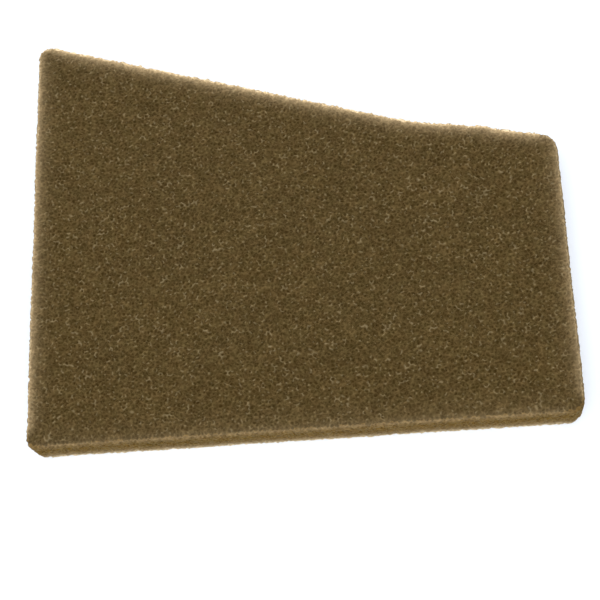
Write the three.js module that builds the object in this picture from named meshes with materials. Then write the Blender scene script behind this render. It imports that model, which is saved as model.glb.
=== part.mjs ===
// Flat foam air filter element for a small engine: one die-cut slab of open-cell polyurethane foam.
// It lies on its rear face. X runs along the straight lower edge, Y from that edge towards the
// slanted upper edge, and Z is up through the thickness. The origin is the middle of the outline's
// bounding box, on the rear face. Units are millimetres.
import * as THREE from "three";

// Outline, as cut.
const LENGTH = 150; // the straight lower edge, from the tall end to the short end
const TALL_END = 125; // height of the left end, before its corner is rounded
const SHORT_END = 80; // height of the right end, before its corner is rounded
const SHOULDER_RUN = 42; // from the short end back to the bend in the upper edge
const SHOULDER_RISE = 9; // how far the bend stands above the top of the short end

// Corner radii of the outline. The bend is a hollow corner, blended by a large radius.
const LOWER_LEFT_RADIUS = 2.5;
const LOWER_RIGHT_RADIUS = 4;
const UPPER_RIGHT_RADIUS = 5;
const BEND_RADIUS = 60;
const UPPER_LEFT_RADIUS = 3.5;

// Section of the slab.
const THICKNESS = 12;
const EDGE_ROUND = 1.2; // round where a face turns into the cut edge

// How finely the rounds are drawn.
const ARC_STEPS = 6;
const EDGE_STEPS = 3;

const FOAM_COLOUR = 0x5b4b2d;

// The outline's corners in order, counter-clockwise from the lower left, each with its radius.
function outlineCorners() {
  const bendX = LENGTH - SHOULDER_RUN;
  const bendY = SHORT_END + SHOULDER_RISE;
  return [
    { at: new THREE.Vector2(0, 0), radius: LOWER_LEFT_RADIUS },
    { at: new THREE.Vector2(LENGTH, 0), radius: LOWER_RIGHT_RADIUS },
    { at: new THREE.Vector2(LENGTH, SHORT_END), radius: UPPER_RIGHT_RADIUS },
    { at: new THREE.Vector2(bendX, bendY), radius: BEND_RADIUS },
    { at: new THREE.Vector2(0, TALL_END), radius: UPPER_LEFT_RADIUS },
  ];
}

// Adds the arc that rounds one corner between its neighbours, whichever way the corner turns.
function addCorner(shape, before, corner, after) {
  const toBefore = before.at.clone().sub(corner.at).normalize();
  const toAfter = after.at.clone().sub(corner.at).normalize();
  const half = Math.acos(toBefore.dot(toAfter)) / 2;
  const tangent = corner.radius / Math.tan(half);
  const middle = toBefore.clone().add(toAfter).normalize();
  const centre = corner.at.clone().addScaledVector(middle, corner.radius / Math.sin(half));
  const start = corner.at.clone().addScaledVector(toBefore, tangent).sub(centre);
  const end = corner.at.clone().addScaledVector(toAfter, tangent).sub(centre);
  const clockwise = toBefore.cross(toAfter) > 0;
  shape.absarc(centre.x, centre.y, corner.radius, start.angle(), end.angle(), clockwise);
}

// The whole outline, with every corner rounded by its own radius.
function outlineShape() {
  const corners = outlineCorners();
  const shape = new THREE.Shape();
  corners.forEach((corner, i) => {
    const before = corners[(i + corners.length - 1) % corners.length];
    const after = corners[(i + 1) % corners.length];
    addCorner(shape, before, corner, after);
  });
  shape.closePath();
  return shape;
}

// The slab: the outline through the thickness, with both faces rounded into the cut edge.
function foamPadGeometry() {
  const geometry = new THREE.ExtrudeGeometry(outlineShape(), {
    depth: THICKNESS - 2 * EDGE_ROUND,
    curveSegments: ARC_STEPS,
    bevelEnabled: true,
    bevelThickness: EDGE_ROUND,
    bevelSize: EDGE_ROUND,
    bevelOffset: -EDGE_ROUND,
    bevelSegments: EDGE_STEPS,
  });
  geometry.center();
  return geometry.translate(0, 0, THICKNESS / 2);
}

function foamPad() {
  const foam = new THREE.MeshStandardMaterial({
    color: FOAM_COLOUR,
    roughness: 0.95,
    metalness: 0,
  });
  const pad = new THREE.Mesh(foamPadGeometry(), foam);
  pad.name = "foam_pad";
  return pad;
}

const filterElement = new THREE.Group();
filterElement.add(foamPad());

export default filterElement;
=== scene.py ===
"""The looks of a flat foam air filter element: one die-cut slab of open-cell polyurethane foam.

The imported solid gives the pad's outline, thickness and place. This script grows open cells over
that form as one closed mesh, gives the foam its colours and finish, and adds a pale floor, soft
studio light and a camera. Lengths are in metres and angles in degrees.
"""

import logging
import math
from dataclasses import dataclass, field
from enum import Enum, IntEnum
from typing import Callable

import bpy
import numpy as np
from mathutils import Matrix, Vector
from mathutils.geometry import delaunay_2d_cdt

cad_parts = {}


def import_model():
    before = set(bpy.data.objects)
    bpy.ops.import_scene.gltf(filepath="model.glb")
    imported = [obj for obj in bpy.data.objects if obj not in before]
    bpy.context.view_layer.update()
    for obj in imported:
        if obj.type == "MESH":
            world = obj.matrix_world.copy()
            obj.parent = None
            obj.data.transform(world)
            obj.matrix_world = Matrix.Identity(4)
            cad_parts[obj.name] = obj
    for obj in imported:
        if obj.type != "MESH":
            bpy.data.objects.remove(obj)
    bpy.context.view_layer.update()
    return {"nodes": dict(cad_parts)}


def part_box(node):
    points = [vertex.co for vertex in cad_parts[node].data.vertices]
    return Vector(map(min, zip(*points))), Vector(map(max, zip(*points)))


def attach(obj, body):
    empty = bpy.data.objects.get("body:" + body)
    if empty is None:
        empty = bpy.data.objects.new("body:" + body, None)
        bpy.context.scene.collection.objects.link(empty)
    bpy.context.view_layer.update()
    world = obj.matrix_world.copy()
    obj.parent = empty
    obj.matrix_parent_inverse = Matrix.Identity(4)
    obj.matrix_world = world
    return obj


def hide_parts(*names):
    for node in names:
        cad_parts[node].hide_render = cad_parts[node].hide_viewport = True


MM = 0.001
PAD_NODE = "foam_pad"
BODY = "root"
BAKE_MAP = "OFBake"
SAME_PLACE = 0.01 * MM  # points that are closer than this count as one

log = logging.getLogger("filter_element")

Colour = tuple[float, float, float, float]


class Trace(Enum):
    """The values that the pad's mesh carries at each vertex, for its materials to read."""

    STRUT = "strut"  # near 0 at the bottom of a cell, where the pores' painted shade shows, up to 1 on a thick strut that is cut across
    ARRIS = "arris"  # distance from the nearest arris, negative on the cut edge
    FRAY = "fray"  # how strongly the nearest arris is painted with a pale glow, for light through the thin edge and from behind; 1 where it is frayed
    TONE = "tone"  # a random value, up to 1 for a strut junction that gets a painted glint


class Side(IntEnum):
    """The three surfaces of the slab. A rim's cells belong to the large face that it borders."""

    REAR = 0
    FRONT = 1
    WALL = 2


# ---------------------------------------------------------------------------
# The pad's plain form


@dataclass(frozen=True)
class PadForm:
    """The plain form of the pad: an outline through a thickness, with rounded arrises.

    Attributes:
        corners: The outline at full size, counter-clockwise, one row for each point.
        bottom: Height of the rear face.
        top: Height of the front face.
        edge_round: Radius of the arris between a large face and the cut edge.
    """

    corners: np.ndarray
    bottom: float
    top: float
    edge_round: float

    @classmethod
    def of_node(cls, node: bpy.types.Object) -> "PadForm":
        """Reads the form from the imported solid, whose straight wall is its tallest step in Z.

        Args:
            node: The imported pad.

        Returns:
            The pad's plain form.
        """
        points = np.array([v.co for v in node.data.vertices])
        levels = np.unique(np.round(points[:, 2], 5))
        wall = int(np.argmax(np.diff(levels)))
        on_wall = np.abs(points[:, 2] - levels[wall]) < SAME_PLACE
        loop = np.unique(np.round(points[on_wall, :2], 6), axis=0)
        middle = loop.mean(axis=0)
        turn = np.arctan2(loop[:, 1] - middle[1], loop[:, 0] - middle[0])
        return cls(loop[np.argsort(turn)], levels[0], levels[-1], levels[wall] - levels[0])


@dataclass(frozen=True)
class RuleJoint:
    """The small step that the die leaves in the upper edge, where two of its cutting rules meet.

    The edge swells slowly from the bend to the joint, steps down there and runs out at the corner.

    Attributes:
        swell_start: Where the edge starts to swell, from the short end.
        joint: Where the two rules meet, from the short end.
        step_end: Where the step down ends, from the short end.
        swell: How far the edge stands out at the joint.
        left_over: How far it still stands out after the step.
        upward: How much an edge has to look up to count as the upper edge, from 0 to 1.
    """

    swell_start: float = 34 * MM
    joint: float = 20.1 * MM
    step_end: float = 16.8 * MM
    swell: float = 0.7 * MM
    left_over: float = 0.2 * MM
    upward: float = 0.8

    def lift(self, from_short_end: np.ndarray) -> np.ndarray:
        """How far the upper edge stands out of its plain line.

        Args:
            from_short_end: Distance of each point from the short end, along X.

        Returns:
            The outward shift of each point.
        """
        places = [0.0, self.step_end, self.joint, self.swell_start]
        shifts = [0.0, self.left_over, self.swell, 0.0]
        return np.interp(from_short_end, places, shifts)


class Wall:
    """The cut edge with its two rounded arrises, as a strip that runs round the outline.

    A place on it has two coordinates: how far it is round the outline, and how far it is up the
    section, from the rear face to the front face.
    """

    def __init__(self, form: PadForm, joint: RuleJoint, step: float) -> None:
        """Walks round the outline in even steps.

        Args:
            form: The pad's plain form.
            joint: The step in the upper edge.
            step: About how long each step is.
        """
        self.form = form
        self.arc = form.edge_round * math.pi / 2
        self.height = form.top - form.bottom - 2 * form.edge_round + 2 * self.arc
        closed = np.vstack([form.corners, form.corners[:1]])
        run = np.concatenate([[0], np.cumsum(np.linalg.norm(np.diff(closed, axis=0), axis=1))])
        self.steps = round(run[-1] / step)
        at = np.linspace(0, run[-1], self.steps, endpoint=False)
        loop = np.stack([np.interp(at, run, closed[:, k]) for k in (0, 1)], axis=1)
        along = np.roll(loop, -1, axis=0) - np.roll(loop, 1, axis=0)
        along /= np.linalg.norm(along, axis=1, keepdims=True)
        out = np.stack([along[:, 1], -along[:, 0]], axis=1)
        on_top = (out[:, 1] > joint.upward)[:, None]
        lift = joint.lift(loop[:, 0].max() - loop[:, 0])[:, None]
        self.loop = loop + np.where(on_top, lift, 0) * out
        self.out = out
        self.round = run[-1]

    def place(self, around: np.ndarray, up: np.ndarray) -> tuple[np.ndarray, np.ndarray]:
        """Points on the strip and the way that the surface looks there.

        Args:
            around: How far each point is round the outline.
            up: How far each point is up the section.

        Returns:
            The points, and their unit normals.
        """
        at = np.linspace(0, self.round, self.steps + 1)
        loop = np.vstack([self.loop, self.loop[:1]])
        ways = np.vstack([self.out, self.out[:1]])
        where = np.mod(around, self.round)
        base = np.stack([np.interp(where, at, loop[:, k]) for k in (0, 1)], axis=1)
        out = np.stack([np.interp(where, at, ways[:, k]) for k in (0, 1)], axis=1)
        out /= np.linalg.norm(out, axis=1, keepdims=True)
        radius = self.form.edge_round
        from_rear = np.clip(up / radius, 0, math.pi / 2)
        from_front = np.clip((self.height - up) / radius, 0, math.pi / 2)
        sine = np.sin(from_rear) * np.sin(from_front)
        inset = radius * (1 - sine)
        straight = np.clip(up - self.arc, 0, self.height - 2 * self.arc)
        low = radius * (1 - np.cos(from_rear))
        high = radius * np.cos(from_front)
        z = self.form.bottom + low + straight + high
        points = np.column_stack([base - out * inset[:, None], z])
        tilt = np.cos(from_front) - np.cos(from_rear)
        normals = np.column_stack([out * sine[:, None], tilt])
        return points, normals / np.linalg.norm(normals, axis=1, keepdims=True)


# ---------------------------------------------------------------------------
# Cells laid out on flat charts

MERGE_WITHIN = 1e-6  # a triangulation joins points that are closer than this, in millimetres


def joined_edges(triangles: np.ndarray) -> np.ndarray:
    """The three directed sides of each triangle, one row for each side.

    Args:
        triangles: One row of three vertex numbers for each triangle.

    Returns:
        One row of two vertex numbers for each side.
    """
    return np.concatenate([triangles[:, [0, 1]], triangles[:, [1, 2]], triangles[:, [2, 0]]])


class Cover(IntEnum):
    """Which triangles a triangulation keeps."""

    ALL = 0
    INSIDE_LOOP = 1


def triangulated(points: np.ndarray, border: int) -> np.ndarray:
    """Triangles over flat points, inside the closed loop that the first ones make.

    Args:
        points: The points, with those of the loop first and in order.
        border: How many points the loop has, or 0 to cover all the points.

    Returns:
        One row of three point numbers for each triangle, counter-clockwise.
    """
    loop = [(i, (i + 1) % border) for i in range(border)]
    cover = Cover.INSIDE_LOOP if border else Cover.ALL
    made = delaunay_2d_cdt([Vector(p) for p in points / MM], loop, [], cover, MERGE_WITHIN)
    triangles = made[2]
    return np.array(triangles)


def settled(
    points: np.ndarray,
    fixed: int,
    triangles_of: Callable[[np.ndarray], np.ndarray],
    period: float,
    rounds: int,
) -> np.ndarray:
    """Moves scattered points apart, so that they are unordered but evenly spread, as cells are.

    Args:
        points: The points, with those that stay in place first.
        fixed: How many points stay in place.
        triangles_of: Makes the triangles over the points.
        period: Length after which the chart's first coordinate repeats, or infinity.
        rounds: How many times each point moves towards the middle of its neighbours.

    Returns:
        The points in their new places.
    """
    for _ in range(rounds):
        sides = joined_edges(triangles_of(points))
        step = points[sides[:, 1]] - points[sides[:, 0]]
        if math.isfinite(period):
            step[:, 0] -= period * np.round(step[:, 0] / period)
        total = np.zeros_like(points)
        np.add.at(total, sides[:, 0], step)
        np.add.at(total, sides[:, 1], -step)
        count = np.bincount(sides.ravel(), minlength=len(points))[:, None]
        points = points + np.where(np.arange(len(points))[:, None] < fixed, 0, total / count)
    return points


def scattered(low: np.ndarray, high: np.ndarray, cell: float, rng: np.random.Generator) -> np.ndarray:
    """Random points in a box, one in each square of a grid.

    Args:
        low: Lowest corner of the box.
        high: Highest corner of the box.
        cell: Side of the squares.
        rng: The source of random numbers.

    Returns:
        One row for each point.
    """
    count = np.maximum(np.round((high - low) / cell).astype(int), 1)
    grid = np.stack(np.meshgrid(*[np.arange(n) for n in count], indexing="ij"), axis=-1)
    spread = (grid.reshape(-1, 2) + rng.random((count.prod(), 2))) / count
    return low + spread * (high - low)


def gap_to_loop(points: np.ndarray, loop: np.ndarray) -> np.ndarray:
    """How far each flat point is inside a closed loop, negative outside.

    Args:
        points: The points.
        loop: The loop's corners, counter-clockwise.

    Returns:
        One distance for each point.
    """
    nearest = np.full(len(points), np.inf)
    inside = np.zeros(len(points), bool)
    for start, end in zip(loop, np.roll(loop, -1, axis=0)):
        side = end - start
        share = np.clip((points - start) @ side / (side @ side), 0, 1)
        gap = np.linalg.norm(points - start - share[:, None] * side, axis=1)
        nearest = np.minimum(nearest, gap)
        if start[1] != end[1]:
            crosses = (points[:, 1] < start[1]) != (points[:, 1] < end[1])
            meets = start[0] + (points[:, 1] - start[1]) * side[0] / side[1]
            inside ^= crosses & (points[:, 0] < meets)
    return np.where(inside, nearest, -nearest)


@dataclass
class Cells:
    """The foam's surface cells, joined into one closed net.

    Attributes:
        points: Where each cell's middle is, on the plain form.
        normals: The way that the surface looks there.
        sides: Which surface each cell belongs to.
        strip: Place of each cell on the wall's strip, or nan on a large face.
        triangles: Three cells that meet, counter-clockwise from outside.
        junctions: Where the three cells of each triangle meet.
        junction_normals: The way that the surface looks there.
        junction_strip: Place of each junction on the strip, or nan on a large face.
    """

    points: np.ndarray
    normals: np.ndarray
    sides: np.ndarray
    strip: np.ndarray
    triangles: np.ndarray
    junctions: np.ndarray
    junction_normals: np.ndarray
    junction_strip: np.ndarray


@dataclass(frozen=True)
class CellLayout:
    """Lays the surface cells over the wall and the two large faces.

    Attributes:
        spacing: Mean distance from a cell to the next.
        clearance: Least distance from the cells of a surface to its rims, in spacings.
        settling: How many rounds spread the cells evenly.
        wander: How far a cell on a rim may shift along it, in spacings.
        overlap: How far the strip's two ends are repeated past each other, in spacings.
    """

    spacing: float
    clearance: float = 0.55
    settling: int = 1
    wander: float = 0.25
    overlap: float = 8

    def lay(self, wall: Wall, rng: np.random.Generator) -> Cells:
        """Lays the cells of the whole pad.

        Args:
            wall: The cut edge as a strip.
            rng: The source of random numbers.

        Returns:
            The cells.
        """
        strip, strip_net = self._strip(wall, rng)
        points, normals = wall.place(strip[:, 0], strip[:, 1])
        sides = np.full(len(strip), Side.WALL)
        nets = [strip_net]
        for side in (Side.REAR, Side.FRONT):
            rim = side * wall.steps + np.arange(wall.steps)
            sides[rim] = side
            inner, net = self._large_face(points[rim, :2], rng)
            numbers = np.concatenate([rim, len(points) + np.arange(len(inner))])
            outwards = net if side is Side.FRONT else net[:, ::-1]
            nets.append(numbers[outwards])
            height = np.full(len(inner), points[rim[0], 2])
            points = np.vstack([points, np.column_stack([inner, height])])
            look = (0, 0, 1 if side is Side.FRONT else -1)
            normals = np.vstack([normals, np.tile(look, (len(inner), 1))])
            sides = np.concatenate([sides, np.full(len(inner), side)])
        places = np.full((len(points), 2), np.nan)
        places[: len(strip)] = strip
        net = np.vstack(nets)
        junctions, ways = points[net].mean(axis=1), normals[net].mean(axis=1)
        junction_strip = np.full((len(net), 2), np.nan)
        on_strip = slice(0, len(strip_net))
        junction_strip[on_strip] = self._middles(wall, strip[strip_net])
        junctions[on_strip], ways[on_strip] = wall.place(*junction_strip[on_strip].T)
        return Cells(points, normals, sides, places, net, junctions, ways, junction_strip)

    def _cell_side(self) -> float:
        """Side of the square that holds one cell, for cells packed at the mean spacing."""
        return self.spacing * math.sqrt(math.sqrt(3) / 2)

    def _large_face(self, rim: np.ndarray, rng: np.random.Generator) -> tuple[np.ndarray, np.ndarray]:
        """Lays the cells of one large face inside its rim.

        Args:
            rim: The cells of the rim, counter-clockwise.
            rng: The source of random numbers.

        Returns:
            The cells inside the rim, and the triangles over rim and inside.
        """
        inner = scattered(rim.min(axis=0), rim.max(axis=0), self._cell_side(), rng)
        inner = inner[gap_to_loop(inner, rim) > self.clearance * self.spacing]

        def cover(points: np.ndarray) -> np.ndarray:
            """Triangles inside the rim."""
            return triangulated(points, len(rim))

        points = settled(np.vstack([rim, inner]), len(rim), cover, math.inf, self.settling)
        return points[len(rim) :], cover(points)

    def _strip(self, wall: Wall, rng: np.random.Generator) -> tuple[np.ndarray, np.ndarray]:
        """Lays the cells of the wall and of its two rims.

        Args:
            wall: The cut edge as a strip.
            rng: The source of random numbers.

        Returns:
            The strip's cells, with the rear rim and then the front rim first, and its triangles.
        """
        shift = rng.uniform(-self.wander, self.wander, (2, wall.steps))
        rims = (np.arange(wall.steps) + shift) * wall.round / wall.steps
        rear_rim = np.column_stack([rims[Side.REAR], np.zeros(wall.steps)])
        front_rim = np.column_stack([rims[Side.FRONT], np.full(wall.steps, wall.height)])
        margin = self.clearance * self.spacing
        low, high = np.array([0, margin]), np.array([wall.round, wall.height - margin])
        inner = scattered(low, high, self._cell_side(), rng)
        overlap = self.overlap * self.spacing
        turn = np.array([wall.round, 0])

        def cover(points: np.ndarray) -> np.ndarray:
            """Triangles round the closed strip, made on an open one with both ends repeated.

            Args:
                points: The strip's cells.

            Returns:
                One row of three cell numbers for each triangle.
            """
            after = np.flatnonzero(points[:, 0] < overlap)
            before = np.flatnonzero(points[:, 0] > wall.round - overlap)
            numbers = np.concatenate([np.arange(len(points)), after, before])
            open_points = np.vstack([points, points[after] + turn, points[before] - turn])
            net = triangulated(open_points, 0)
            middle = open_points[net, 0].mean(axis=1)
            return numbers[net[(middle >= 0) & (middle < wall.round)]]

        points = np.vstack([rear_rim, front_rim, inner])
        points = settled(points, 2 * wall.steps, cover, wall.round, self.settling)
        points[:, 0] = np.mod(points[:, 0], wall.round)
        return points, cover(points)

    def _middles(self, wall: Wall, places: np.ndarray) -> np.ndarray:
        """The middle of each triangle on the strip, also where it lies across the strip's ends.

        Args:
            wall: The cut edge as a strip.
            places: The three places of each triangle.

        Returns:
            One place for each triangle.
        """
        around = unwrapped(places[:, :, 0], places[:, :1, 0], wall.round)
        return np.column_stack([around.mean(axis=1), places[:, :, 1].mean(axis=1)])


def unwrapped(values: np.ndarray, near: np.ndarray, period: float) -> np.ndarray:
    """Shifts values by whole periods, so that each is the one closest to a given place."""
    return values - period * np.round((values - near) / period)


def cell_walls(net: np.ndarray, cells: int) -> np.ndarray:
    """Turns a closed net of cells into the facets from each cell's middle to its junctions.

    Args:
        net: Three cells that meet, counter-clockwise.
        cells: How many cells there are. A junction's number comes after them.

    Returns:
        The facets, each with its cell first.

    Raises:
        ValueError: If the net isn't closed.
    """
    sides = joined_edges(net)
    owner = np.tile(np.arange(len(net)), 3)
    key = sides.min(axis=1) * np.int64(cells) + sides.max(axis=1)
    order = np.lexsort((sides[:, 0] > sides[:, 1], key))
    first, second = order[0::2], order[1::2]
    if len(first) != len(second) or (sides[first] != sides[second][:, ::-1]).any():
        raise ValueError("the net of cells isn't closed")
    left, right = cells + owner[first], cells + owner[second]
    start, end = sides[first].T
    before = np.column_stack([start, right, left])
    after = np.column_stack([end, left, right])
    return np.concatenate([before, after])


@dataclass(frozen=True)
class FlatPattern:
    """Spreads the pad's skin flat in a square: both large faces, and the wall in a few columns.

    Attributes:
        gap: Room between two pieces of the pattern.
        columns: How many columns the wall is cut into.
    """

    gap: float = 2.5 * MM
    columns: int = 3

    def spread(self, wall: Wall, cells: Cells, facets: np.ndarray) -> np.ndarray:
        """Places each corner of each facet in the unit square.

        Args:
            wall: The cut edge as a strip.
            cells: The cells.
            facets: The facets, each with its cell first.

        Returns:
            Two coordinates for each corner of each facet.
        """
        low, high = wall.loop.min(axis=0), wall.loop.max(axis=0)
        width, tall = high - low
        at_short_end = wall.loop[:, 0] > high[0] - self.gap
        short = np.ptp(wall.loop[at_short_end, 1])
        nested = np.array([width, tall + short + self.gap])  # one face turned round over the other
        flat = np.vstack([cells.points, cells.junctions])[facets, :2] - low
        strip = np.vstack([cells.strip, cells.junction_strip])[facets]
        column_length = wall.round / self.columns
        column = np.floor(strip[:, :1, 0] / column_length)
        along = unwrapped(strip[:, :, 0], strip[:, :1, 0], wall.round) - column * column_length
        across = width + self.gap + column * (wall.height + self.gap) + strip[:, :, 1]
        side = cells.sides[facets[:, 0]][:, None, None]
        places = np.where(side == Side.REAR, nested - flat, flat)
        places = np.where(side == Side.WALL, np.stack([across, along], axis=-1), places)
        return (places + self.gap) / (nested[1] + 2 * self.gap)


# ---------------------------------------------------------------------------
# Shader nodes


class MixSocket(IntEnum):
    """The sockets of a Mix node that it uses for colours."""

    SHARE = 0
    FIRST = 6
    SECOND = 7
    RESULT = 2


class Tree:
    """A node tree being wired, with a short call for each thing it needs."""

    def __init__(self, tree: bpy.types.NodeTree) -> None:
        """Starts with an empty tree."""
        self.tree = tree
        tree.nodes.clear()

    def node(self, kind: str, **settings: object) -> bpy.types.Node:
        """Adds a node.

        Args:
            kind: The node's type name.
            settings: Properties of the node.

        Returns:
            The node.
        """
        made = self.tree.nodes.new(kind)
        for name, value in settings.items():
            setattr(made, name, value)
        return made

    def feed(self, socket: bpy.types.NodeSocket, value: object) -> None:
        """Gives an input a constant, or links an output to it.

        Args:
            socket: The input.
            value: A number, a colour or another node's output.
        """
        if isinstance(value, bpy.types.NodeSocket):
            self.tree.links.new(value, socket)
        else:
            socket.default_value = value

    def math(self, operation: str, *values: object, clamp: bool = False) -> bpy.types.NodeSocket:
        """Adds a Math node.

        Args:
            operation: The node's operation.
            values: Its inputs.
            clamp: Whether to keep the result from 0 to 1.

        Returns:
            The result.
        """
        made = self.node("ShaderNodeMath", operation=operation, use_clamp=clamp)
        for socket, value in zip(made.inputs, values):
            self.feed(socket, value)
        return made.outputs[0]

    def remap(
        self, value: object, span: tuple[float, float], result: tuple[float, float]
    ) -> bpy.types.NodeSocket:
        """Adds a Map Range node with a smooth step.

        Args:
            value: The value to map.
            span: The values that give the two results.
            result: The result at and below the span's start, and at and above its end.

        Returns:
            The result.
        """
        made = self.node("ShaderNodeMapRange", interpolation_type="SMOOTHSTEP")
        for socket, given in zip(made.inputs, (value, *span, *result)):
            self.feed(socket, given)
        return made.outputs[0]

    def mix(self, blend: str, share: object, first: object, second: object) -> bpy.types.NodeSocket:
        """Adds a Mix node for colours.

        Args:
            blend: The way of mixing.
            share: How much of the second.
            first: The first colour.
            second: The second colour.

        Returns:
            The mixed colour.
        """
        made = self.node("ShaderNodeMix", data_type="RGBA", blend_type=blend)
        self.feed(made.inputs[MixSocket.SHARE], share)
        self.feed(made.inputs[MixSocket.FIRST], first)
        self.feed(made.inputs[MixSocket.SECOND], second)
        return made.outputs[MixSocket.RESULT]

    def noise(self, where: object, size: float, detail: float = 1.0) -> bpy.types.NodeSocket:
        """Adds a Noise Texture.

        Args:
            where: The coordinates.
            size: About how large one patch is.
            detail: How many finer layers it has.

        Returns:
            The noise, around 0.5.
        """
        made = self.node("ShaderNodeTexNoise")
        self.feed(made.inputs["Vector"], where)
        self.feed(made.inputs["Scale"], 1 / size)
        self.feed(made.inputs["Detail"], detail)
        return made.outputs[0]

    def strands(self, where: object, size: float, width: float) -> bpy.types.NodeSocket:
        """Adds the thin walls between random cells, as a plane cuts them.

        Args:
            where: The coordinates.
            size: About how large one cell is.
            width: How wide a strand is, as a share of the cell.

        Returns:
            1 on a strand, fading to 0 beside it.
        """
        made = self.node("ShaderNodeTexVoronoi", feature="DISTANCE_TO_EDGE")
        self.feed(made.inputs["Vector"], where)
        self.feed(made.inputs["Scale"], 1 / size)
        return self.remap(made.outputs["Distance"], (0.0, width), (1.0, 0.0))

    def trace(self, name: Trace) -> bpy.types.NodeSocket:
        """Adds an Attribute node that reads one of the mesh's own values."""
        return self.node("ShaderNodeAttribute", attribute_name=name.value).outputs["Fac"]


@dataclass(frozen=True)
class OpenCellPattern:
    """The colour pattern of cut open-cell foam, with painted shade, glow and glints, as a node group
    that each foam finish places.

    Attributes:
        name: The group's name.
        window: Size of the small windows within a cell.
        strand_width: Width of the strands round a window, as a share of it.
        strand_share: How much the strands tell beside the grain.
        grain: Size of the unevenness along a strut.
        grain_detail: How many finer layers it has.
        patch: Size of the large, faint patches of tone.
        patch_detail: How many finer layers they have.
        patch_edges: The noise values that give the darkest and the lightest patch.
        patch_span: How dark and how light those are.
        fleck: Size of the faint patches of hue.
        fleck_edges: The noise values that give the brownest and the greenest patch.
        browner: Tint of the brownest patch.
        greener: Tint of the greenest patch.
        hue_share: How strongly the patches of hue show.
        pore_glow: How much of an arris's painted glow shows in the pores, where a strut shows all of
            it.
        face_glow: How far the painted glow of an arris fades into a large face.
        edge_glow: How far it fades into the cut edge.
        glint_span: The tones at which a strut starts to get a painted glint, and gets it fully.
        matte: Roughness of plain foam.
        shiny: Roughness of a strut end that glints fully.
    """

    name: str = "open_cell_pattern"
    window: float = 1.15 * MM
    strand_width: float = 0.3
    strand_share: float = 0.55
    grain: float = 0.65 * MM
    grain_detail: float = 2.0
    patch: float = 9 * MM
    patch_detail: float = 3.0
    patch_edges: tuple[float, float] = (0.3, 0.7)
    patch_span: tuple[float, float] = (0.95, 1.05)
    fleck: float = 3 * MM
    fleck_edges: tuple[float, float] = (0.35, 0.65)
    browner: Colour = (1.1, 0.96, 0.95, 1.0)
    greener: Colour = (0.92, 1.03, 0.95, 1.0)
    hue_share: float = 0.18
    pore_glow: float = 0.55
    face_glow: float = 1.2 * MM
    edge_glow: float = 0.7 * MM
    glint_span: tuple[float, float] = (0.6, 1.0)
    matte: float = 0.92
    shiny: float = 0.55

    def group(self) -> bpy.types.NodeTree:
        """Builds the group once and then returns the same one."""
        made = bpy.data.node_groups.get(self.name)
        return made if made else self._built()

    def _built(self) -> bpy.types.NodeTree:
        """Wires the group.

        Returns:
            The group.
        """
        tree = bpy.data.node_groups.new(self.name, "ShaderNodeTree")
        wires = Tree(tree)
        self._declare(tree)
        given = wires.node("NodeGroupInput").outputs
        place = given["Place"]
        strand = wires.strands(place, self.window, self.strand_width)
        grain = wires.noise(place, self.grain, self.grain_detail)
        level = self._level(wires, given, strand, grain)
        # Painted shade in the pores, the struts in their own colour
        colour = wires.mix("MIX", level, given["Pore Shade Colour"], given["Strut Colour"])
        colour = self._mottled(wires, place, colour)
        # Painted glow on the arrises, standing in for light through the thin edge and from behind
        colour = wires.mix("MIX", self._glow(wires, given, level), colour, given["Arris Glow Colour"])
        # Painted glints on strut ends that catch the light, with a lower roughness there
        spark = self._spark(wires, given)
        colour = wires.mix("MIX", spark, colour, given["Glint Colour"])
        out = wires.node("NodeGroupOutput").inputs
        wires.feed(out["Colour"], colour)
        wires.feed(out["Roughness"], wires.remap(spark, (0.0, 1.0), (self.matte, self.shiny)))
        wires.feed(out["Height"], wires.math("ADD", strand, grain))
        return tree

    def _declare(self, tree: bpy.types.NodeTree) -> None:
        """Names the group's inputs and outputs.

        Args:
            tree: The group.
        """
        sockets = {
            "INPUT": {
                "NodeSocketVector": ("Place",),
                "NodeSocketFloat": ("Strut", "Arris", "Fray", "Tone", "Contrast", "Glint"),
                "NodeSocketColor": ("Strut Colour", "Pore Shade Colour", "Arris Glow Colour", "Glint Colour"),
            },
            "OUTPUT": {
                "NodeSocketColor": ("Colour",),
                "NodeSocketFloat": ("Roughness", "Height"),
            },
        }
        for way, kinds in sockets.items():
            for kind, names in kinds.items():
                for name in names:
                    tree.interface.new_socket(name, in_out=way, socket_type=kind)

    def _level(
        self,
        wires: Tree,
        given: bpy.types.NodeOutputs,
        strand: bpy.types.NodeSocket,
        grain: bpy.types.NodeSocket,
    ) -> bpy.types.NodeSocket:
        """How much strut and how little of the pores' painted shade shows, from 0 to 1.

        Args:
            wires: The group's nodes.
            given: The group's inputs.
            strand: Where the thin strands are.
            grain: The fine grain.

        Returns:
            The level.
        """
        fine = wires.math("ADD", wires.math("MULTIPLY", strand, self.strand_share), grain)
        middle = 0.5 + self.strand_share / 2
        lively = wires.math("MULTIPLY", wires.math("SUBTRACT", fine, middle), given["Contrast"])
        return wires.math("ADD", given["Strut"], lively, clamp=True)

    def _mottled(
        self, wires: Tree, place: bpy.types.NodeSocket, colour: bpy.types.NodeSocket
    ) -> bpy.types.NodeSocket:
        """Adds the faint patches of tone, and of a browner and a greener hue.

        Args:
            wires: The group's nodes.
            place: The coordinates.
            colour: The colour to vary.

        Returns:
            The varied colour.
        """
        patches = wires.noise(place, self.patch, self.patch_detail)
        shade = wires.remap(patches, self.patch_edges, self.patch_span)
        colour = wires.mix("MULTIPLY", 1.0, colour, shade)
        hue = wires.remap(wires.noise(place, self.fleck), self.fleck_edges, (0.0, 1.0))
        tint = wires.mix("MIX", hue, self.browner, self.greener)
        return wires.mix("MULTIPLY", self.hue_share, colour, tint)

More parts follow.
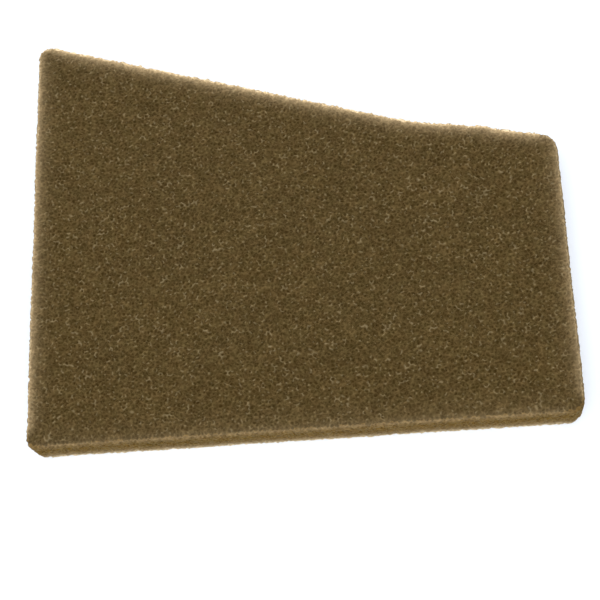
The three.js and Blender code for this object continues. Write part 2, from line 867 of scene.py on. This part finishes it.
    def _glow(
        self, wires: Tree, given: bpy.types.NodeOutputs, level: bpy.types.NodeSocket
    ) -> bpy.types.NodeSocket:
        """How strongly an arris is painted with its pale glow, which stands in for light through the
        thin edge and from behind.

        Args:
            wires: The group's nodes.
            given: The group's inputs.
            level: How much strut shows.

        Returns:
            The share of the arris's painted glow colour, from 0 to 1.
        """
        into_face = wires.math("DIVIDE", given["Arris"], -self.face_glow)
        into_edge = wires.math("DIVIDE", given["Arris"], self.edge_glow)
        fade = wires.math("EXPONENT", wires.math("MINIMUM", into_face, into_edge))
        strands = wires.remap(level, (0.0, 1.0), (self.pore_glow, 1.0))
        return wires.math("MULTIPLY", wires.math("MULTIPLY", fade, strands), given["Fray"])

    def _spark(self, wires: Tree, given: bpy.types.NodeOutputs) -> bpy.types.NodeSocket:
        """Where a strut's cut end gets a painted glint, as if it caught the light.

        Args:
            wires: The group's nodes.
            given: The group's inputs.

        Returns:
            How strongly it does, from 0 to 1.
        """
        chosen = wires.remap(given["Tone"], self.glint_span, (0.0, 1.0))
        return wires.math("MULTIPLY", chosen, given["Glint"])


@dataclass(frozen=True)
class FoamFinish:
    """How one kind of cut leaves the foam: its colours and how open and lively it looks.

    Attributes:
        name: The material's name.
        strut: Colour of the struts.
        pore_shade: Painted shade deep in a cell, which stands in for the shadow at its bottom.
        arris: Painted glow of an arris: a pale colour that stands in for light through the thin foam
            there and from behind.
        glint: Painted highlight of a strut end that catches the light.
        contrast: How strongly the strands and the grain show.
        glints: How strongly the painted glints on strut ends show.
        relief: Height of the fine relief.
        gloss: Strength of the plain reflection.
        fuzz: How much light the loose strand ends scatter at a low angle.
        fuzz_spread: How widely they scatter it.
        fuzz_tint: Colour of that light.
    """

    name: str
    strut: Colour
    pore_shade: Colour
    arris: Colour
    glint: Colour
    contrast: float
    glints: float
    relief: float = 0.1 * MM
    gloss: float = 0.12
    fuzz: float = 0.15
    fuzz_spread: float = 0.3
    fuzz_tint: Colour = (1.0, 0.82, 0.45, 1.0)

    def material(self, pattern: OpenCellPattern) -> bpy.types.Material:
        """Builds the finish's material.

        Args:
            pattern: The pattern that it places.

        Returns:
            The material.
        """
        made = bpy.data.materials.new(self.name)
        made.use_nodes = True
        made.diffuse_color = self.strut
        wires = Tree(made.node_tree)
        cells = wires.node("ShaderNodeGroup", node_tree=pattern.group())
        wires.feed(cells.inputs["Place"], wires.node("ShaderNodeTexCoord").outputs["Object"])
        for trace in Trace:
            wires.feed(cells.inputs[trace.value.title()], wires.trace(trace))
        looks = {
            "Strut Colour": self.strut,
            "Pore Shade Colour": self.pore_shade,
            "Arris Glow Colour": self.arris,
            "Glint Colour": self.glint,
            "Contrast": self.contrast,
            "Glint": self.glints,
        }
        for name, value in looks.items():
            wires.feed(cells.inputs[name], value)
        bump = wires.node("ShaderNodeBump")
        wires.feed(bump.inputs["Height"], cells.outputs["Height"])
        wires.feed(bump.inputs["Distance"], self.relief)
        foam = wires.node("ShaderNodeBsdfPrincipled")
        surface = {
            "Base Color": cells.outputs["Colour"],
            "Roughness": cells.outputs["Roughness"],
            "Normal": bump.outputs["Normal"],
            "Specular IOR Level": self.gloss,
            "Sheen Weight": self.fuzz,
            "Sheen Roughness": self.fuzz_spread,
            "Sheen Tint": self.fuzz_tint,
        }
        for name, value in surface.items():
            wires.feed(foam.inputs[name], value)
        wires.feed(wires.node("ShaderNodeOutputMaterial").inputs["Surface"], foam.outputs[0])
        return made


SLIT_FACE = FoamFinish(
    name="slit_foam_face",
    strut=(0.11, 0.0728, 0.0252, 1.0),
    # Painted shade deep in the cells
    pore_shade=(0.028, 0.015, 0.0, 1.0),
    # Painted glow of the arrises
    arris=(0.78, 0.57, 0.32, 1.0),
    # Painted highlight of a glinting strut end
    glint=(0.235, 0.18, 0.094, 1.0),
    contrast=0.5,
    glints=0.5,
)
DIE_CUT_EDGE = FoamFinish(
    name="die_cut_foam_edge",
    strut=(0.196, 0.109, 0.016, 1.0),
    # Painted shade deep in the cells
    pore_shade=(0.068, 0.034, 0.001, 1.0),
    # Painted glow of the arrises
    arris=(0.85, 0.68, 0.44, 1.0),
    # Painted highlight of a glinting strut end
    glint=(0.27, 0.195, 0.085, 1.0),
    contrast=0.55,
    glints=0.4,
)


# ---------------------------------------------------------------------------
# The pad


@dataclass
class FoamPad:
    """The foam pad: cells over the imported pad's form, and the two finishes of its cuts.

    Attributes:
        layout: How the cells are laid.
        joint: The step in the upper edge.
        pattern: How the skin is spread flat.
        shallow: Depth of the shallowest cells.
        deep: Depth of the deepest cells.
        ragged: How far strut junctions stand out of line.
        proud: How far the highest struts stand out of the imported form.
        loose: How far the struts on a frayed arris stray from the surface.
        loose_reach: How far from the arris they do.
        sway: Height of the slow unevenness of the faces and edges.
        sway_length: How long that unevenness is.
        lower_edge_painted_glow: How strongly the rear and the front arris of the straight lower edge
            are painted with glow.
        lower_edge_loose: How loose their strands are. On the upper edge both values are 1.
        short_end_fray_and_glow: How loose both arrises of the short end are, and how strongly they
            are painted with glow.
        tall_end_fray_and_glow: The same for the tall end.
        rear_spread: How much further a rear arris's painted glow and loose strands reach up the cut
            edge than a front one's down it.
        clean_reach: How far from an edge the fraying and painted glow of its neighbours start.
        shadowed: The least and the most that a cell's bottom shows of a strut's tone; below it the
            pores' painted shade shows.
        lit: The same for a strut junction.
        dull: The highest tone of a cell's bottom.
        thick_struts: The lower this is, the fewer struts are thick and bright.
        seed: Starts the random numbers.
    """

    layout: CellLayout = field(default_factory=lambda: CellLayout(spacing=1.2 * MM))
    joint: RuleJoint = field(default_factory=RuleJoint)
    pattern: FlatPattern = field(default_factory=FlatPattern)
    shallow: float = 0.15 * MM
    deep: float = 0.75 * MM
    ragged: float = 0.16 * MM
    proud: float = 0.28 * MM
    loose: float = 0.25 * MM
    loose_reach: float = 0.9 * MM
    sway: float = 0.12 * MM
    sway_length: float = 45 * MM
    lower_edge_painted_glow: tuple[float, float] = (1.7, 0.17)
    lower_edge_loose: tuple[float, float] = (0.3, 0.19)
    short_end_fray_and_glow: float = 0.4
    tall_end_fray_and_glow: float = 0.58
    rear_spread: float = 2.3
    clean_reach: float = 3 * MM
    shadowed: tuple[float, float] = (0.08, 0.32)
    lit: tuple[float, float] = (0.25, 0.82)
    dull: float = 0.6
    thick_struts: float = 0.6
    seed: int = 11

    def build(self, node: bpy.types.Object) -> bpy.types.Object:
        """Makes the pad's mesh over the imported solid's form.

        Args:
            node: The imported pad.

        Returns:
            The new object.
        """
        rng = np.random.default_rng(self.seed)
        wall = Wall(PadForm.of_node(node), self.joint, self.layout.spacing)
        cells = self.layout.lay(wall, rng)
        facets = cell_walls(cells.triangles, len(cells.points))
        from_arris = self._from_arris(wall, cells)
        looseness = self._fray_and_glow(cells, self.lower_edge_loose)
        loose = self.loose * looseness * np.exp(-np.abs(from_arris) / self.loose_reach)
        mesh = bpy.data.meshes.new(PAD_NODE + "_foam")
        mesh.from_pydata(self._worked(cells, loose, rng).tolist(), [], facets.tolist())
        mesh.polygons.foreach_set("use_smooth", np.ones(len(facets), bool))
        on_wall = cells.sides[facets[:, 0]] == Side.WALL
        mesh.polygons.foreach_set("material_index", on_wall.astype(np.int32))
        # Strut level: low at a cell's bottom, where the pores' painted shade shows
        self._trace(mesh, Trace.STRUT, self._struts(cells, rng))
        self._trace(mesh, Trace.ARRIS, from_arris)
        # Painted glow: how strongly each arris shows its pale colour
        self._trace(mesh, Trace.FRAY, self._fray_and_glow(cells, self.lower_edge_painted_glow))
        # Tone: picks the strut ends that get a painted glint
        self._trace(mesh, Trace.TONE, self._tones(cells, rng))
        flat = mesh.uv_layers.new(name=BAKE_MAP)
        flat.uv.foreach_set("vector", self.pattern.spread(wall, cells, facets).ravel())
        mesh.update()
        pad = bpy.data.objects.new("foam_pad_cells", mesh)
        bpy.context.scene.collection.objects.link(pad)
        return pad

    def dress(self, pad: bpy.types.Object) -> None:
        """Gives the pad its finishes: the slit faces first, then the die-cut edge.

        Args:
            pad: The pad.
        """
        pattern = OpenCellPattern()
        for finish in (SLIT_FACE, DIE_CUT_EDGE):
            pad.data.materials.append(finish.material(pattern))

    def _trace(self, mesh: bpy.types.Mesh, name: Trace, values: np.ndarray) -> None:
        """Stores one value for each vertex."""
        stored = mesh.attributes.new(name.value, "FLOAT", "POINT")
        stored.data.foreach_set("value", values.astype(np.float32))

    def _struts(self, cells: Cells, rng: np.random.Generator) -> np.ndarray:
        """How much bare strut shows: little at a cell's bottom, where the pores' painted shade shows
        instead, and much on a few thick struts.

        Args:
            cells: The cells.
            rng: The source of random numbers.

        Returns:
            One value from 0 to 1 for each cell and each junction.
        """
        bottoms = np.interp(rng.random(len(cells.points)), (0, 1), self.shadowed)
        thickness = rng.random(len(cells.junctions)) ** (1 / self.thick_struts)
        return np.concatenate([bottoms, np.interp(thickness, (0, 1), self.lit)])

    def _tones(self, cells: Cells, rng: np.random.Generator) -> np.ndarray:
        """A random tone for each vertex, which is never high at a cell's bottom.

        Args:
            cells: The cells.
            rng: The source of random numbers.

        Returns:
            One value from 0 to 1 for each cell and each junction.
        """
        bottoms = self.dull * rng.random(len(cells.points))
        return np.concatenate([bottoms, rng.random(len(cells.junctions))])

    def _from_arris(self, wall: Wall, cells: Cells) -> np.ndarray:
        """How far each vertex is from the nearest arris, along the surface.

        Args:
            wall: The cut edge as a strip.
            cells: The cells.

        Returns:
            One distance for each cell and each junction, negative on the cut edge.
        """
        points = np.vstack([cells.points, cells.junctions])
        up = np.concatenate([cells.strip[:, 1], cells.junction_strip[:, 1]])
        arris = wall.arc / 2
        from_rear = (up - arris) / self.rear_spread
        from_front = wall.height - up - arris
        inset = gap_to_loop(points[:, :2], wall.loop) - wall.form.edge_round
        return np.where(np.isnan(up), inset + arris, -np.minimum(from_rear, from_front))

    def _fray_and_glow(self, cells: Cells, lower_edge: tuple[float, float]) -> np.ndarray:
        """How frayed the arris beside each vertex is, or how strongly it is painted with glow, as the
        given values choose.

        Args:
            cells: The cells.
            lower_edge: The value on the rear and on the front arris of the lower edge.

        Returns:
            One value for each cell and each junction, 1 on the upper edge.
        """
        points = np.vstack([cells.points, cells.junctions])
        low, high = points.min(axis=0), points.max(axis=0)
        at_lower_edge = self._beside(points[:, 1] - low[1])
        at_short_end = self._beside(high[0] - points[:, 0])
        at_tall_end = self._beside(points[:, 0] - low[0])
        on_lower_edge = np.interp(points[:, 2], (low[2], high[2]), lower_edge)
        fray = 1 + (on_lower_edge - 1) * at_lower_edge
        fray *= 1 + (self.short_end_fray_and_glow - 1) * at_short_end
        return fray * (1 + (self.tall_end_fray_and_glow - 1) * at_tall_end)

    def _beside(self, distance: np.ndarray) -> np.ndarray:
        """1 beside an edge, which falls to 0 where the fraying and painted glow of its neighbours
        start.
        """
        return np.interp(distance / self.clean_reach, (1, 2), (1, 0))

    def _worked(self, cells: Cells, loose: np.ndarray, rng: np.random.Generator) -> np.ndarray:
        """Sinks the cells, roughens the junctions and lets the whole surface sway.

        Args:
            cells: The cells.
            loose: How far each vertex may stray from the surface, on a frayed arris.
            rng: The source of random numbers.

        Returns:
            The vertices: one for each cell, then one for each junction.
        """
        depth = rng.uniform(self.shallow, self.deep, len(cells.points))
        lowering = np.abs(rng.normal(0, self.ragged, len(cells.junctions)))
        points = np.vstack([cells.points, cells.junctions])
        normals = np.vstack([cells.normals, cells.junction_normals])
        normals = normals / np.linalg.norm(normals, axis=1, keepdims=True)
        wave = 2 * math.pi * points / self.sway_length
        sway = (1 + np.sin(wave[:, 0]) * np.cos(wave[:, 1])) / 2
        stray = loose * rng.normal(0, 1, len(points))
        sink = np.concatenate([depth, lowering]) + self.sway * sway + stray - self.proud
        return points - normals * sink[:, None]


# ---------------------------------------------------------------------------
# The floor, the light and the camera


@dataclass(frozen=True)
class Floor:
    """A plain pale floor under the pad.

    Attributes:
        size: Side of its square.
        drop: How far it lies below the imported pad, under the proudest struts.
        colour: Its colour.
        roughness: Its roughness.
    """

    size: float = 6.0
    drop: float = 0.52 * MM
    colour: Colour = (0.72, 0.76, 0.82, 1.0)
    roughness: float = 0.9

    def build(self, height: float) -> None:
        """Lays the floor.

        Args:
            height: Height of what it carries.
        """
        half = self.size / 2
        signs = ((-1, -1), (1, -1), (1, 1), (-1, 1))
        corners = [(x * half, y * half, height - self.drop) for x, y in signs]
        mesh = bpy.data.meshes.new("floor")
        mesh.from_pydata(corners, [], [(0, 1, 2, 3)])
        made = bpy.data.materials.new("pale_floor")
        made.use_nodes = True
        shader = made.node_tree.nodes["Principled BSDF"]
        shader.inputs["Base Color"].default_value = self.colour
        shader.inputs["Roughness"].default_value = self.roughness
        mesh.materials.append(made)
        floor = bpy.data.objects.new("floor", mesh)
        bpy.context.scene.collection.objects.link(floor)


@dataclass(frozen=True)
class Lamp:
    """One soft area light, aimed at the pad.

    Attributes:
        name: What the lamp is for.
        azimuth: Where it stands round the pad: 0 is in front, 90 is to the right.
        elevation: How high it stands.
        distance: How far it is.
        size: Side of its square.
        power: Power in watts.
        shadow: Whether the pad shades the floor from it.
    """

    name: str
    azimuth: float
    elevation: float
    distance: float
    size: float
    power: float
    shadow: bool = False

    def build(self, target: Vector) -> None:
        """Hangs the lamp.

        Args:
            target: What it points at.
        """
        data = bpy.data.lights.new(self.name, "AREA")
        data.size = self.size
        data.energy = self.power
        data.use_shadow = self.shadow
        lamp = bpy.data.objects.new(self.name, data)
        away = direction(self.azimuth, self.elevation)
        lamp.location = target + away * self.distance
        lamp.rotation_mode = "QUATERNION"
        lamp.rotation_quaternion = away.to_track_quat("Z", "Y")
        bpy.context.scene.collection.objects.link(lamp)


def direction(azimuth: float, elevation: float) -> Vector:
    """The way from the pad to something round it.

    Args:
        azimuth: 0 is in front of the lower edge, 90 is beyond the short end.
        elevation: Angle above the floor.

    Returns:
        A unit vector.
    """
    turn, rise = math.radians(azimuth), math.radians(elevation)
    return Vector(
        (math.sin(turn) * math.cos(rise), -math.cos(turn) * math.cos(rise), math.sin(rise))
    )


@dataclass(frozen=True)
class StudioLight:
    """Soft studio light: a high key lamp, low lamps that graze the pad, and pale surroundings.

    Attributes:
        lamps: The lamps.
        surroundings: Colour of the light that comes from all sides.
        strength: Strength of that light.
    """

    lamps: tuple[Lamp, ...] = (
        Lamp("key_lamp", azimuth=10, elevation=75, distance=1.5, size=1.4, power=17.6, shadow=True),
        Lamp("back_lamp", azimuth=180, elevation=14, distance=1.4, size=0.6, power=24),
        Lamp("left_lamp", azimuth=-95, elevation=14, distance=1.4, size=0.6, power=8),
        Lamp("front_lamp", azimuth=10, elevation=12, distance=1.4, size=0.6, power=2.5),
    )
    surroundings: Colour = (0.93, 0.96, 1.0, 1.0)
    strength: float = 0.6

    def build(self, target: Vector) -> None:
        """Hangs the lamps and lights the surroundings.

        Args:
            target: What the lamps point at.
        """
        for lamp in self.lamps:
            lamp.build(target)
        world = bpy.data.worlds.new("pale_room")
        world.use_nodes = True
        back = world.node_tree.nodes["Background"]
        back.inputs["Color"].default_value = self.surroundings
        back.inputs["Strength"].default_value = self.strength
        scene = bpy.context.scene
        scene.world = world
        scene.view_settings.view_transform = "Standard"


@dataclass(frozen=True)
class ViewCamera:
    """The camera, which looks steeply down at the pad from in front, a little to the right.

    Attributes:
        azimuth: Where it stands round the pad.
        elevation: How high it stands.
        roll: How far it is turned about its own line of sight.
        distance: How far it is from what it looks at.
        lens: Focal length in millimetres.
        aside: How far to the right of the front face's middle it looks.
        below: How far below that middle it looks.
        nearest: Nearest distance that it sees.
        farthest: Farthest distance that it sees.
    """

    azimuth: float = 17.27
    elevation: float = 69.18
    roll: float = -20.54
    distance: float = 374.4 * MM
    lens: float = 81.96
    aside: float = 1.38 * MM
    below: float = 25.10 * MM
    nearest: float = 10 * MM
    farthest: float = 50.0

    def build(self, low: Vector, high: Vector) -> None:
        """Sets the camera up.

        Args:
            low: The pad's lowest corner.
            high: The pad's highest corner.
        """
        middle = (low + high) / 2
        target = Vector((middle.x + self.aside, middle.y - self.below, high.z))
        away = direction(self.azimuth, self.elevation)
        data = bpy.data.cameras.new("camera")
        data.lens = self.lens
        data.clip_start = self.nearest
        data.clip_end = self.farthest
        camera = bpy.data.objects.new("camera", data)
        level = away.to_track_quat("Z", "Y").to_matrix().to_4x4()
        rolled = level @ Matrix.Rotation(math.radians(self.roll), 4, "Z")
        camera.matrix_world = Matrix.Translation(target + away * self.distance) @ rolled
        bpy.context.scene.collection.objects.link(camera)
        bpy.context.scene.camera = camera


def main() -> None:
    """Loads the frame, builds and dresses the pad, and sets the scene round it."""
    logging.basicConfig(level=logging.INFO, format="%(name)s: %(message)s")
    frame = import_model()
    low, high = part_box(PAD_NODE)

    ViewCamera().build(low, high)
    maker = FoamPad()
    pad = maker.build(frame["nodes"][PAD_NODE])
    maker.dress(pad)
    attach(pad, BODY)
    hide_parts(PAD_NODE)
    log.info("%s: %d vertices, %d facets", pad.name, len(pad.data.vertices), len(pad.data.polygons))

    Floor().build(low.z)
    StudioLight().build((low + high) / 2)
    log.info("floor, light and camera are set")


if __name__ == "__main__":
    main()
